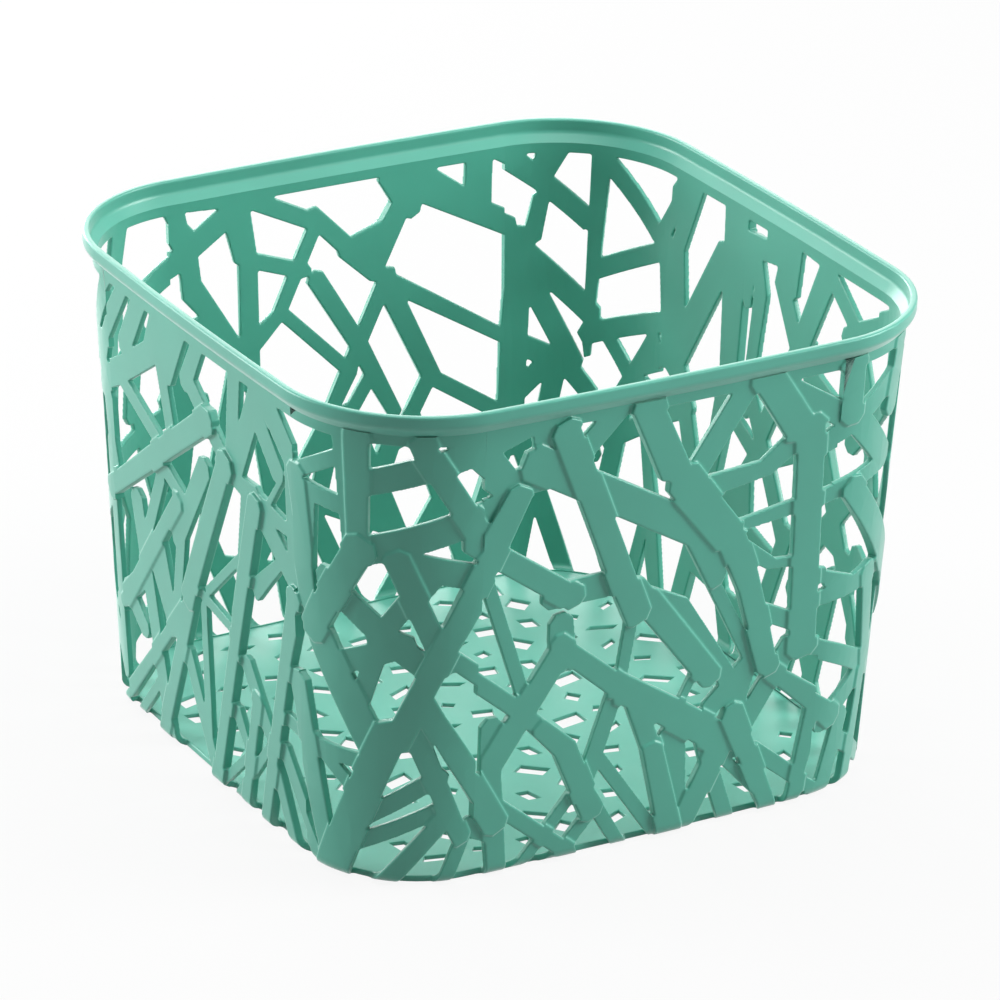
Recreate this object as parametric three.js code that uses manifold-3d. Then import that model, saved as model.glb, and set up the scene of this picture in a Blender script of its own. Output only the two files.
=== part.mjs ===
// Square openwork storage basket, moulded in one plastic: a lipped rim on tapering walls of crossing branches,
// rounded corners and heel, and a slotted floor. Millimetres, +Z up, origin at the middle of the underside.
import * as THREE from 'three';
import { mergeVertices } from 'three/addons/utils/BufferGeometryUtils.js';
import Module from 'manifold-3d';

const wasm = await Module();
wasm.setup();

// Overall sizes
const rimLength = 250;
const rimWidth = 250;
const height = 186.5;
const taper = 9.7;
const sideBow = 2.5;
const rimCornerRadius = 48.5;
const floorCornerRadius = 41;
const heelRadius = 5;

// Wall, relief and floor
const wallThickness = 2.2;
const reliefDepth = 0.7;
const mostSteps = 3;
const floorThickness = 1.8;
const seam = 0.1;

// Rim: the lip stands out from the wall on a flare, and a ledge inside leads down to the wall
const rimDepth = 8.5;
const lipOverhang = 3.6;
const lipWidth = 2.7;
const lipDepth = 4.5;
const ledgeDrop = 3.5;
const lipEdge = 0.4;
const topBandDepth = 4;
const footBandDepth = 1.2;

// Floor slots
const slotPitch = 18;
const rowPitch = 16;
const slotLength = 10;
const slotWidth = 7;
const slotMargin = 7;
const slotShoulder = 0.6;

// How far the slots differ: how far they drift off their places, the steepest lean in radians, and the largest
// changes of length and width as shares of them
const slotDrift = 2;
const slotLean = 0.6;
const lengthSpread = 0.45;
const widthSpread = 0.5;

// The wave that sets the slots' differences: its steps from row to row and from column to column, and how many
// times as fast as the lean the other differences change along it
const rowWave = 1.9;
const columnWave = 2.6;
const lengthRate = 2;
const widthRate = 3;
const acrossRate = 4;
const alongRate = 5;

// The branches are drawn on a flat sheet that the wall stretches: a wall's straight part runs to sheetStraight
// each side of its middle, and a whole corner takes sheetCorner. Heights run up from the heel line, sheetHeel,
// to the rim at sheetTop, and down from it round the heel to sheetFoot.
const sheetStraight = 72.9;
const sheetCorner = 76.2;
const sheetHeel = 5;
const sheetTop = 176.5;
const sheetFoot = -2.85;
const sheetSide = 2 * sheetStraight + sheetCorner;
const straightFacets = 2;
const cornerFacets = 6;
const heelFacets = 2;

// Steps of an opening's outline under smallestStep are smoothed away, and openings under smallestOpening, in
// square millimetres, stay closed. Openings up to widestGap long match where two panels meet.
const smallestStep = 1;
const smallestOpening = 5;
const widestGap = 45;
const gapDepth = 1;
const touching = 1e-3;
const welded = 1e-5;

// Branches: their usual width, and how much of its width is cut off each corner of a branch's ends
const branchWidth = 10;
const cornerCut = 0.3;

// Each branch is [along, up, along, up, width, width, step]: its two ends, the width at each, and how many
// relief steps its face stands at. Along is in hundredths of a side from the middle of the wall, to the right
// seen from outside, up is in hundredths of the sheet's height, and the widths are in tenths of the usual one.
const hundredths = 100;
const tenths = 10;
const frontBranches = [
  [-56.1, 100.8, -54.5, 72.5, 8, 7, 1], [-53.2, 100.8, -53.2, 73.7, 9, 7, 2],
  [-55.9, 87.5, -33.3, 96.3, 9.5, 10.5, 1], [-44.1, 99.7, -29.7, 70.3, 9, 9, 2],
  [-37.4, 102, -26.1, 82.7, 12, 12, 1], [-54.5, 73.4, -27.9, 83.6, 11, 11, 1],
  [-46.8, 72.8, -31.5, 68, 10, 10, 1], [-45, 62.3, -38.3, 72, 6, 6, 1],
  [-36, 77.6, -14.4, 58.4, 9, 9.5, 2], [-21.6, 60.6, -6.3, 61.2, 10, 10, 1],
  [-19.4, 99.2, -3.4, 51, 10, 10.5, 3], [-29.7, 86.7, -18, 89, 11, 12, 1],
  [-31.5, 95.8, -22.5, 99.7, 6, 6, 1], [-21.6, 100.8, -20.7, 86.1, 14, 12, 1],
  [-26.1, 92.6, 8.1, 68, 12.5, 13, 2], [-18.9, 87, -6.8, 102.3, 9, 9, 1],
  [6.3, 70.3, 11.7, 55.5, 12, 9, 2], [-5.2, 100.8, 2.5, 81.6, 12, 13, 3],
  [1.8, 83.3, 14, 64.6, 14, 13, 3], [13.1, 66.9, 18, 52.7, 11, 10, 3], [17.1, 55.5, 23, 32.3, 10, 8, 3],
  [15.8, 100.8, 4.3, 78.8, 9.5, 9.5, 1], [16.2, 102, 26.1, 85, 10, 12, 2],
  [27.3, 89.5, 29.3, 34, 12, 12, 2], [19.8, 98, 38.7, 83.6, 9.5, 9, 1],
  [35.1, 87.8, 47.7, 72.2, 11, 11, 1], [27.9, 80.5, 52.3, 95.2, 8, 9, 1],
  [34.7, 100.8, 35.6, 85, 11, 9, 2], [48.6, 100.8, 46.4, 82.7, 10, 10, 2],
  [4.5, 77.2, 19.4, 79.5, 8, 7, 1], [18.5, 78.8, 27.9, 87.3, 8, 9, 1], [14.4, 67.7, 27.9, 69.7, 5, 6, 1],
  [14.4, 64, 22.5, 57.2, 7, 6, 1], [21.2, 57.5, 27.9, 56.7, 4, 4, 1], [18, 48.7, 29.7, 41.4, 7, 7, 1],
  [27, 69.1, 45.9, 73.7, 6, 7, 1], [35.6, 72.2, 54.1, 45.3, 10, 12, 3],
  [27.9, 54.4, 40.5, 47.3, 5.5, 7, 1], [27.9, 46.5, 55, 49.3, 6, 9, 1], [27.9, 38.5, 52.3, 23.8, 7, 9, 1],
  [44.1, 51, 47.7, 26.1, 9, 9, 2], [20.7, 35.7, 38.7, 17, 6, 9, 2], [33.3, 16.4, 55, 32.9, 8, 9, 1],
  [32.4, 23.8, 29.7, -3.4, 5, 7, 2], [41, 19.3, 35.6, -3.4, 9, 9, 1], [46.8, 27.2, 43.2, -3.4, 7, 8, 2],
  [39.6, 12.5, 51.4, 3.4, 7, 7, 1], [-41.4, 56.1, -19.8, 30.6, 6.5, 7, 2],
  [-21.6, 32.9, -15.3, 24.9, 7, 9, 3], [-16.7, 27.8, -9.9, 8.5, 9.5, 9, 3],
  [-19.4, 51, -5.4, 36.3, 8, 9, 2], [-6.8, 38, 14.4, 19.8, 12, 12, 2],
  [-4.1, 55.5, -5.9, 38.5, 5.5, 5, 1], [-5.6, 40.8, -12.2, 14.7, 7, 7.5, 1],
  [-5.4, 60.6, 12.2, 33.1, 10, 9, 2], [9, 38, 4.5, 26.6, 3.5, 3.5, 1], [-2.7, 57.2, 5.4, 51.6, 9, 9, 1],
  [3.6, 53.8, 17.1, 29.5, 9, 8, 1], [20.7, 37.4, 10.8, 26.1, 9, 8, 1], [18.9, 35.1, 14, 15.9, 9, 9, 1],
  [10.4, 21.5, 18, -3.4, 7, 7, 1], [17.1, 26.1, 5.9, -3.4, 10, 9, 2], [15.3, 27.2, 26.6, -3.4, 9, 7, 3],
  [12.6, 18.7, 22.5, 5.1, 4.5, 4.5, 1], [20.7, 15.9, 36, 0.7, 6.5, 6, 1],
  [27.9, 39.7, 15.3, 14.7, 9, 9, 1], [7.2, 66.9, 13.5, 48.7, 5, 5, 1], [12.6, 51, 20.7, 34, 5.5, 6, 1],
  [-32.9, 71.4, -23.4, 37.4, 5.5, 5.5, 1], [-25.7, 86.7, -47.7, 31.2, 9.5, 9.5, 3],
  [-46.8, 37.4, -61.3, -3.4, 13, 15, 3], [-63.1, 57.2, -49.5, 28.3, 13.5, 13, 2],
  [-61.3, 68, -41.4, 48.7, 10, 10, 1], [-47.7, 74.8, -37.8, 47.6, 9, 9, 2],
  [-43.2, 66.9, -51.4, 53.3, 8, 8, 1], [-51.8, 77.1, -63.5, 52.1, 11.5, 11, 3],
  [-59, 47.6, -43.7, 55.2, 9, 9, 1], [-49.5, 55, -53.6, 39.7, 8, 8, 1],
  [-18, 56.7, -16.2, 43.1, 10, 9, 1], [-16.7, 49.9, -30.6, 23.8, 10, 10, 2],
  [-29.7, 36.3, -29.7, 19.3, 9.5, 9, 1], [-29.7, 23.8, -27.5, -3.4, 9, 8, 2],
  [-44.1, 45.9, -27.9, 10.5, 9, 9, 3], [-45.5, 39.7, -34.7, 9.1, 9, 8, 2],
  [-32.9, 14.7, -39.2, -3.4, 6, 6.5, 1], [-35.1, 13.6, -27, 7.4, 5, 5, 1],
  [-53.2, 31.7, -41.4, 35.1, 12, 10, 1], [-55.9, 12.5, -37.8, 26.1, 7, 7, 1],
  [-56.8, 7.4, -36.9, 18.7, 6.5, 6, 1], [-51.8, -3.4, -36.9, 17, 8, 7, 2],
  [-31.5, 19.3, -12.6, 0, 6.5, 6.5, 2], [-26.1, -3.4, -11.7, 18.1, 5, 5, 1],
  [-19.4, -3.4, -9, 11.3, 6, 5.5, 1], [-11.7, 15.3, -2.3, -3.4, 5.5, 5.5, 1],
  [-10.4, 23.8, 5.4, -3.4, 5.5, 5.5, 1], [-4.1, 36.3, 1.4, 19.3, 8, 8, 2],
  [0, 22.7, 6.3, -3.4, 8.5, 9, 3], [4.5, 26.1, 6.3, -3.4, 12, 12, 1],
];

const rightBranches = [
  [-41.4, 98.3, -22.5, 84.4, 9, 9, 1], [-28.8, 86.4, -12.6, 100.8, 8, 8, 1],
  [-17.1, 98.6, -9.9, 77.1, 12.5, 11, 1], [-5, 100.8, -4.1, 85, 15, 15, 1],
  [-1.6, 90.7, -9.7, 75.4, 10, 10, 1], [6.8, 94.1, 2.7, 81.6, 9, 8, 1], [3.6, 85, 5.2, 54.4, 8, 7, 1],
  [-3.6, 94.1, 11.7, 92.4, 8, 10, 1], [7, 94.1, 7.2, 78.2, 8, 5, 1], [0.9, 100.8, 0.9, 92.9, 9, 9, 1],
  [12.6, 100.8, 11.3, 58.9, 17, 12, 3], [14, 89.5, 30.2, 53.8, 13.5, 13.5, 1],
  [24.5, 100.8, 30.6, 80.5, 9, 9, 1], [27.7, 101.4, 35.1, 82.7, 9.5, 9, 1],
  [30, 83.9, 27.5, 62.3, 9, 10, 1], [34, 85, 30.6, 58.9, 10, 10, 1], [35.6, 82, 49.5, 98.1, 7.5, 7.5, 1],
  [34.2, 80.1, 51.4, 70.5, 8, 8, 1], [49.1, 100.8, 50.6, 51, 8.5, 4, 1],
  [28.8, 66, 52.3, 55.8, 8.5, 8.5, 1], [48.6, 60.1, 36, 40.8, 6, 7, 1], [34.2, 61.2, 43.2, 43.1, 9, 8, 1],
  [26.1, 61.2, 38.7, 52.1, 10, 10, 1], [-44.1, 100.8, -46.8, 66.9, 9, 9, 1],
  [-50.5, 91.8, -36.9, 101.4, 8, 8, 1], [-38.7, 102, -40.5, 79.3, 10, 9, 1],
  [-47.7, 72.5, -40.5, 47.6, 9, 9, 1], [-47.7, 48.2, -36.9, 29.5, 12, 10, 3],
  [-47.7, 48.7, -29.7, 53.3, 9, 8, 1], [-46.8, 31.4, -31.5, 41.9, 9, 9, 1],
  [-49.5, 24.9, -36, 16.4, 8, 8, 1], [-44.1, 54.4, -48.6, 23.8, 8, 8, 1],
  [-47.7, 26.1, -42.3, -3.4, 8, 9, 1], [-41.4, 82.7, -27, 62.3, 9, 9, 1],
  [-27.9, 86.1, -36.9, 54.4, 8, 9, 1], [-30.6, 65.7, -10.8, 74.2, 8, 8, 1],
  [-10.8, 79.3, -23.4, 48.7, 9, 10, 3], [-32.4, 56.7, -16.2, 31.7, 9, 9, 1],
  [-22.5, 52.1, -37.8, 17, 9, 9, 1], [-9, 75.9, 0, 52.1, 9, 9, 1], [5.4, 63.5, -10.8, 31.7, 9, 9, 1],
  [-18.9, 58.9, 1.8, 45.3, 8, 8, 1], [11.3, 62.3, 15.3, 31.7, 12, 9, 3], [0.9, 47.6, 16.2, 57.8, 7, 7, 1],
  [27, 57.8, 16.2, 22.7, 10, 10, 1], [-1.8, 52.1, 11.7, 26.1, 9, 8, 1], [-11.7, 37.4, -1.8, 2.3, 9, 9, 1],
  [-27, 35.1, -20.7, -3.4, 9, 9, 1], [-36.9, 20.4, -27.9, -3.4, 8, 8, 1],
  [-13.5, 26.1, -27.9, -3.4, 8, 8, 1], [-17.1, 17, -11.7, -3.4, 8, 8, 1], [-0.9, 14.7, -9, -3.4, 8, 8, 1],
  [3.6, 43.1, -0.9, -3.4, 9, 9, 1], [14.4, 35.1, 3.6, -3.4, 9, 9, 1], [15.3, 34, 23.4, -3.4, 9, 9, 3],
  [37.8, 49.9, 27.9, -3.4, 9, 9, 1], [41.4, 47.6, 46.8, 10.2, 9, 9, 1], [47.7, 14.7, 41.4, -3.4, 8, 8, 1],
  [16.2, 24.9, 44.1, 18.1, 7, 7, 1], [33.3, 20.4, 38.7, -3.4, 8, 8, 1], [21.6, 49.9, 46.8, 31.7, 8, 8, 1],
  [-37.8, 36.3, -15.3, 43.1, 7, 7, 1], [-7.2, 27.2, 17.1, 35.1, 7, 7, 1],
  [-6.3, 10.2, 19.8, 14.7, 6, 6, 1],
];

const backBranches = [
  [-50, 81.4, -30.2, 101.2, 8.5, 9, 1], [-43.2, 100.8, -38.5, 89.5, 13, 9, 1],
  [-40.3, 89, -38.3, 77.1, 7, 8, 1], [-35.8, 81.6, -34.2, 28.3, 13, 13, 1],
  [-27.9, 100.8, -27.5, 83.9, 12, 12, 1], [-35.1, 80.5, -14.4, 96.6, 9, 15, 1],
  [-9.5, 100.3, -15.3, 87.8, 12, 11, 1], [-12.7, 91.5, -6.4, 76.8, 9.5, 10, 3],
  [-8.1, 75.4, 5.9, 93.2, 8, 7.5, 1], [1.8, 88.7, 19.8, 99.7, 7, 7.5, 1],
  [20.5, 100.8, 17.8, 83.3, 13, 10, 1], [17.7, 85, 17.7, 54.4, 8.5, 8.5, 1],
  [5.4, 79.2, 18.9, 85.2, 6.5, 6.5, 1], [4.1, 90.1, 12.2, 70.3, 6, 6.5, 1],
  [11.7, 71.1, 19.8, 62.3, 7, 8, 1], [5.2, 79, -3.6, 60.9, 8, 8, 1], [-2.3, 64.6, -11.3, 41.9, 8, 7, 1],
  [12.3, 72.5, -3, 53.7, 5.5, 5.5, 1], [-9.7, 72.5, -19.1, 48.7, 9, 8.6, 1],
  [-18.9, 52.7, -10.8, 35.1, 7, 7, 1], [-34.2, 37.4, -17.1, 51, 6.5, 6.5, 1],
  [-33.3, 56.1, -7.7, 75.6, 6, 7.5, 1], [-10.5, 77.3, 2.9, 44.2, 7, 6.5, 1],
  [29.7, 95.2, 28.4, 77.1, 8, 9, 1], [29.5, 82.7, 18.5, 60.6, 9, 8, 1],
  [18.9, 97.2, 41.4, 79.3, 9.5, 9, 1], [32, 100.8, 30.2, 89, 9, 9, 1],
  [43.7, 100.8, 47.7, 86.1, 10, 10, 1], [36.9, 80.7, 49.5, 91.2, 8, 8, 1],
  [-51.4, 59.8, -36, 76.2, 9.5, 10.5, 1], [-37.4, 70.3, -47.7, 47.6, 9.5, 9.5, 1],
  [-48.6, 46.5, -33.3, 56.1, 8, 9, 1], [-45, 52.7, -33.3, 40.2, 9, 9, 1],
  [-51.4, 41.4, -43.2, 52.7, 8, 8, 1], [-7.2, 55, 0, 41.9, 6, 6, 1], [-11.7, 86.4, 0, 82.2, 9, 8, 1],
  [-44.1, 51, -35.1, -3.4, 9, 9, 1], [-33.3, 41.9, -47.7, -3.4, 9, 9, 1],
  [-35.1, 37.4, -22.5, -3.4, 10, 9, 3], [-13.5, 44.2, -27.9, -3.4, 8, 9, 1],
  [-20.7, 22.7, -6.3, -3.4, 8, 8, 1], [-11.7, 41.9, 2.7, -3.4, 9, 9, 3],
  [-0.9, 47.6, -14.4, 5.7, 8, 8, 1], [0.9, 45.3, 6.3, 20.4, 8, 8, 1], [6.3, 23.8, -3.6, -3.4, 9, 9, 1],
  [0.9, 47.6, 19.8, 11.3, 8, 8, 1], [17.1, 58.9, 9.9, -3.4, 9, 9, 1], [19.8, 63.5, 27.9, 20.4, 9, 9, 1],
  [27.9, 24.9, 18.9, -3.4, 8, 8, 1], [29.7, 61.2, 37.8, -3.4, 10, 10, 3],
  [42.3, 56.7, 27.9, -3.4, 8, 8, 1], [22.5, 35.1, 53.2, 17, 7, 7, 1], [-53.2, 29.5, -27, 18.1, 7, 7, 1],
  [-10.8, 15.9, 16.2, 32.9, 6, 6, 1], [7.2, 10.2, 30.6, 19.3, 6, 6, 1], [39.6, 85, 44.1, 54.4, 9, 9, 1],
  [47.7, 89.5, 51.4, 54.4, 9, 9, 1], [37.8, 73.7, 54.1, 63.5, 8, 8, 1], [26.1, 55.5, 53.2, 47.6, 8, 8, 1],
  [27, 73.7, 35.1, 54.4, 9, 9, 1], [53.2, 58.9, 45, 34, 9, 9, 1], [44.1, 37.4, 51.4, -3.4, 9, 9, 1],
  [37.8, 11.3, 52.3, 5.7, 6, 6, 1],
];

const leftBranches = [
  [22.5, 99.7, 11.7, 73.7, 11, 10, 1], [14.4, 100.8, 11.3, 73.7, 9, 9, 1],
  [20.7, 93.8, 28.8, 81.6, 11, 10, 1], [22.5, 100.8, 32.4, 87.3, 12, 10, 1],
  [30.6, 85, 44.1, 94.1, 6, 6, 1], [29.7, 85, 46.8, 82.7, 7, 7, 1], [32, 88.4, 32, 55.5, 9, 9, 1],
  [37.4, 83.9, 36.9, 67.4, 5, 4, 1], [10.8, 75.1, 30.6, 72, 8, 7, 1], [23.4, 73.9, 28.4, 81.6, 3, 3, 1],
  [17.1, 53.3, 30.6, 66.6, 4.5, 5, 1], [18, 75.9, 12.6, 43.1, 12, 10, 1],
  [11.3, 79.3, -6.8, 37.4, 10, 10, 3], [-2.7, 89.5, 9.9, 77.1, 9, 9, 1], [-36, 49.3, 6.3, 85.6, 8, 10, 3],
  [-31.5, 79.3, -13.5, 69.1, 7, 7, 1], [-39.6, 71.1, -6.3, 96.9, 10, 10, 1],
  [-13.1, 89.5, -9, 69.1, 8, 8, 1], [-36, 80.5, -33.3, 51, 9, 9, 1], [-44.1, 75.9, -31.5, 100.8, 8, 8, 1],
  [-25.2, 100.8, -37.8, 78.2, 8, 8, 1], [-18, 102, -27.9, 83.9, 10, 10, 1],
  [-11.7, 102, -18, 86.1, 10, 10, 1], [-3.6, 102, -11.7, 85, 10, 10, 1], [3.2, 102, -4.5, 86.7, 8, 9, 1],
  [2.7, 73.7, -10.8, 48.7, 10, 9, 1], [-15.3, 65.7, -2.7, 58.4, 7, 7, 1],
  [-14.4, 63.5, -23.4, 41.9, 7, 7, 1], [24.8, 29.2, 50.5, 26.6, 6, 6, 1],
  [-46.8, 35.1, -35.1, 9.1, 9, 9, 1], [-38.7, 22.7, -44.1, -3.4, 9, 9, 1],
  [-48.6, 85, -32.4, 73.7, 8, 8, 1], [-55, 78.2, -33.3, 82.7, 12, 12, 1],
  [-46.8, 79.3, -44.1, 11.3, 8, 8, 1], [-50.5, 35.1, -32.4, 52.1, 8, 8, 1],
  [-37.4, 21.6, -24.5, 34.6, 9, 9, 1], [-31, 28, -24, 21, 9, 9, 1], [-35.5, 62, -35, 6, 7, 7, 1],
  [-25.7, 54.4, -16.2, -3.4, 10.5, 9, 1], [-7.7, 60.9, -33.8, 23.2, 7, 6.5, 2],
  [-17, 48, -12.9, 31, 7, 7, 1], [-7.2, 57.8, -11.8, 32, 7, 7, 1], [-19.6, 41.9, -12.4, 26.6, 10, 9, 1],
  [-3.6, 41.4, -38.3, -3.4, 6, 5, 2], [-4.8, 40, -21.1, -3.4, 8, 7.5, 2],
  [-8.8, 27.2, 3.1, -3.4, 8, 7.5, 1], [-0.7, 41, -1.5, 5, 5.5, 6, 1], [0.2, 43.3, 17.3, 62, 4, 4, 1],
  [-2.5, 42.5, 11.3, 39.2, 5, 4.5, 1], [20.7, 74.8, 0.6, -3.4, 8, 7, 3], [17.3, 75.4, 40, 53.5, 11, 9.5, 1],
  [33.6, 88.7, 36.5, 57.5, 10, 9, 2], [18, 51.3, 29.1, 66, 4.5, 4.5, 1],
  [32.7, 60.5, 18.3, -3.4, 8, 6.5, 3], [13.1, 35.7, 21.8, 20.1, 8.5, 8.5, 1],
  [18, 29.7, 10.8, -3.4, 6.5, 6, 2], [8.8, 22.7, 13.3, 13.6, 7.5, 6.5, 1],
  [22.5, 21.2, 5.3, -3.4, 4.5, 4.5, 1], [16.4, 16.4, -1.7, -3.4, 4, 4, 1],
  [23, 17, 30.3, -3.4, 7.5, 6.5, 2], [25.2, 22.5, 39, -3.4, 7.5, 7.5, 1],
  [31.8, 42.5, 40.6, -3.4, 12, 8, 2], [35.1, 30, 46, 20, 6, 6, 1], [-32.5, -3.4, -17.8, 15.6, 4.5, 4.5, 1],
];

// The walls in turn, each a quarter turn on from the one before
const walls = [frontBranches, rightBranches, backBranches, leftBranches];

const plastic = { roughness: 0.42, metalness: 0 };
const latticeColor = '#6fb59f';
const rimColor = '#7cc4ad';
const floorColor = '#76bba5';

function solidOf(geometry) {
  geometry.deleteAttribute('normal');
  geometry.deleteAttribute('uv');
  const merged = mergeVertices(geometry, welded);
  return new wasm.Manifold(new wasm.Mesh({
    numProp: 3,
    vertProperties: merged.attributes.position.array,
    triVerts: Uint32Array.from(merged.index.array),
  }));
}

function extruded(shape, low, high) {
  const geometry = new THREE.ExtrudeGeometry(shape, { depth: high - low, bevelEnabled: false });
  geometry.translate(0, 0, low);
  return solidOf(geometry);
}

function slab(outline, low, high) {
  return extruded(new THREE.Shape(outline), low, high);
}

function bandOutline(left, right, low, high) {
  return [
    new THREE.Vector2(left, low),
    new THREE.Vector2(right, low),
    new THREE.Vector2(right, high),
    new THREE.Vector2(left, high),
  ];
}

// A branch's row in sizes of the sheet, moved on by a number of walls
function placedBranch([fromAlong, fromUp, toAlong, toUp, fromWidth, toWidth, step], turn) {
  return {
    from: new THREE.Vector2((fromAlong / hundredths + turn) * sheetSide, (fromUp / hundredths) * sheetTop),
    to: new THREE.Vector2((toAlong / hundredths + turn) * sheetSide, (toUp / hundredths) * sheetTop),
    fromWidth: (fromWidth / tenths) * branchWidth,
    toWidth: (toWidth / tenths) * branchWidth,
    step,
  };
}

// One end of a branch, its two corners cut off, going round it with the branch's side on the right
function endCorners(place, outward, width, margin) {
  const side = new THREE.Vector2(outward.y, -outward.x);
  const cut = cornerCut * width;
  const corner = (across, back) => place.clone().addScaledVector(side, across).addScaledVector(outward, -back);
  const half = width / 2 + margin;
  return [corner(half, cut), corner(half - cut, 0), corner(cut - half, 0), corner(-half, cut)];
}

// The branch's outline, with a margin added on each side
function branchOutline({ from, to, fromWidth, toWidth }, margin) {
  const run = to.clone().sub(from).normalize();
  const far = endCorners(to, run, toWidth, margin);
  const near = endCorners(from, run.negate(), fromWidth, margin);
  return [...far, ...near];
}

// The branches of a wall and of its two neighbours that reach between left and right on that wall's sheet
function branchesBetween(wall, left, right) {
  const found = [];
  for (const turn of [-1, 0, 1]) {
    for (const row of walls[(wall + turn + 4) % 4]) {
      const branch = placedBranch(row, turn);
      const reach = Math.max(branch.fromWidth, branch.toWidth) / 2;
      const start = Math.min(branch.from.x, branch.to.x) - reach;
      const end = Math.max(branch.from.x, branch.to.x) + reach;
      if (end > left && start < right) {
        found.push(branch);
      }
    }
  }
  return found;
}

// What the branches leave open between the band under the rim and the band round the foot
function gapsBetween(branches, left, right) {
  let gaps = slab(bandOutline(left, right, sheetFoot + footBandDepth, sheetTop - topBandDepth), 0, gapDepth);
  for (const branch of branches) {
    gaps = gaps.subtract(slab(branchOutline(branch, 0), -gapDepth, 2 * gapDepth));
  }
  return gaps;
}

// The closed loops that bound a flat solid's underside, each a list of plan points
function loopsOf(solid) {
  const keyOf = (point) => `${point.x.toFixed(4)},${point.y.toFixed(4)}`;
  const next = new Map();
  const seen = new Map();
  const underside = trianglesOf(solid).filter((corners) => corners.every((point) => point.z < gapDepth / 2));
  for (const triangle of underside) {
    triangle.forEach((point, i) => {
      const following = triangle[(i + 1) % 3];
      seen.set(`${keyOf(point)};${keyOf(following)}`, [point, following]);
    });
  }
  for (const [edge, [from, to]] of seen) {
    if (!seen.has(edge.split(';').reverse().join(';'))) {
      next.set(keyOf(from), to);
    }
  }
  const loops = [];
  while (next.size > 0) {
    const loop = [];
    let key = next.keys().next().value;
    while (next.has(key)) {
      const point = next.get(key);
      next.delete(key);
      key = keyOf(point);
      loop.push(new THREE.Vector2(point.x, point.y));
    }
    loops.push(loop);
  }
  return loops;
}

// The points between two ends of an outline that stand off the straight line by more than the smallest step
function keptBetween(points) {
  const start = points[0];
  const end = points[points.length - 1];
  const line = new THREE.Line3(new THREE.Vector3(start.x, start.y, 0), new THREE.Vector3(end.x, end.y, 0));
  const foot = new THREE.Vector3();
  let farthest = 0;
  let widest = smallestStep;
  for (let i = 1; i < points.length - 1; i += 1) {
    const point = new THREE.Vector3(points[i].x, points[i].y, 0);
    const offset = line.closestPointToPoint(point, true, foot).distanceTo(point);
    if (offset > widest) {
      widest = offset;
      farthest = i;
    }
  }
  if (farthest === 0) {
    return [start];
  }
  return [...keptBetween(points.slice(0, farthest + 1)), ...keptBetween(points.slice(farthest))];
}

// An outline turned to start at its farthest corner one way along the sheet
function startingAt(loop, direction) {
  const reach = (point) => direction * (point.x + point.y / sheetCorner);
  let start = 0;
  loop.forEach((point, i) => {
    if (reach(point) > reach(loop[start])) {
      start = i;
    }
  });
  return [...loop.slice(start), ...loop.slice(0, start)];
}

// An outline without its smallest steps, followed from its farthest corner one way to the other and back
function cleaned(loop) {
  const turned = startingAt(loop, -1);
  const opposite = turned.indexOf(startingAt(loop, 1)[0]);
  const outward = turned.slice(0, opposite + 1);
  const back = [...turned.slice(opposite), turned[0]];
  return [...keptBetween(outward), ...keptBetween(back)];
}

// The panel's openings: the outlines of the gaps, tidied, without the pinholes
function openingsBetween(branches, left, right) {
  const outlines = loopsOf(gapsBetween(branches, left, right)).map(cleaned);
  return outlines.filter((outline) => -THREE.ShapeUtils.area(outline) > smallestOpening);
}

// A flat panel of lattice: a plate with the proud branches raised by their steps, cut through by the openings
function flatLattice(wall, left, right) {
  const branches = branchesBetween(wall, left - widestGap, right + widestGap);
  const tallest = mostSteps * reliefDepth;
  let panel = slab(bandOutline(left, right, sheetFoot, sheetTop), -wallThickness, 0);
  for (const branch of branches.filter((each) => each.step > 1)) {
    const proud = (branch.step - 1) * reliefDepth;
    panel = panel.add(slab(branchOutline(branch, smallestStep), -wallThickness / 2, proud));
  }
  panel = panel.intersect(slab(bandOutline(left, right, sheetFoot, sheetTop), -2 * wallThickness, tallest));
  for (const opening of openingsBetween(branches, left - widestGap, right + widestGap)) {
    panel = panel.subtract(slab(opening, -2 * wallThickness, tallest));
  }
  return panel;
}

function trianglesOf(solid) {
  const mesh = solid.getMesh();
  const points = [];
  for (let i = 0; i < mesh.vertProperties.length; i += mesh.numProp) {
    points.push(new THREE.Vector3(...mesh.vertProperties.slice(i, i + 3)));
  }
  const triangles = [];
  for (let i = 0; i < mesh.triVerts.length; i += 3) {
    triangles.push([points[mesh.triVerts[i]], points[mesh.triVerts[i + 1]], points[mesh.triVerts[i + 2]]]);
  }
  return triangles;
}

// Even steps from one place to another, both ends included
function stepsBetween(from, to, count) {
  return Array.from({ length: count + 1 }, (_, i) => from + ((to - from) * i) / count);
}

function isOnLine(point, lines) {
  return lines.along.some((level) => Math.abs(point.x - level) < touching)
    || lines.up.some((level) => Math.abs(point.y - level) < touching);
}

function liesOnLine(triangle, lines) {
  return lines.along.some((level) => triangle.every((point) => Math.abs(point.x - level) < touching))
    || lines.up.some((level) => triangle.every((point) => Math.abs(point.y - level) < touching));
}

// A triangle split wherever one of the given points lies within one of its edges
function stitched(triangle, points) {
  const nearest = new THREE.Vector3();
  for (let i = 0; i < 3; i += 1) {
    const [a, b, c] = [triangle[i], triangle[(i + 1) % 3], triangle[(i + 2) % 3]];
    const edge = new THREE.Line3(a, b);
    const between = points.find((point) => (
      point.distanceTo(a) > touching
      && point.distanceTo(b) > touching
      && edge.closestPointToPoint(point, true, nearest).distanceTo(point) < touching));
    if (between) {
      return [...stitched([a, between, c], points), ...stitched([between, b, c], points)];
    }
  }
  return [triangle];
}

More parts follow.
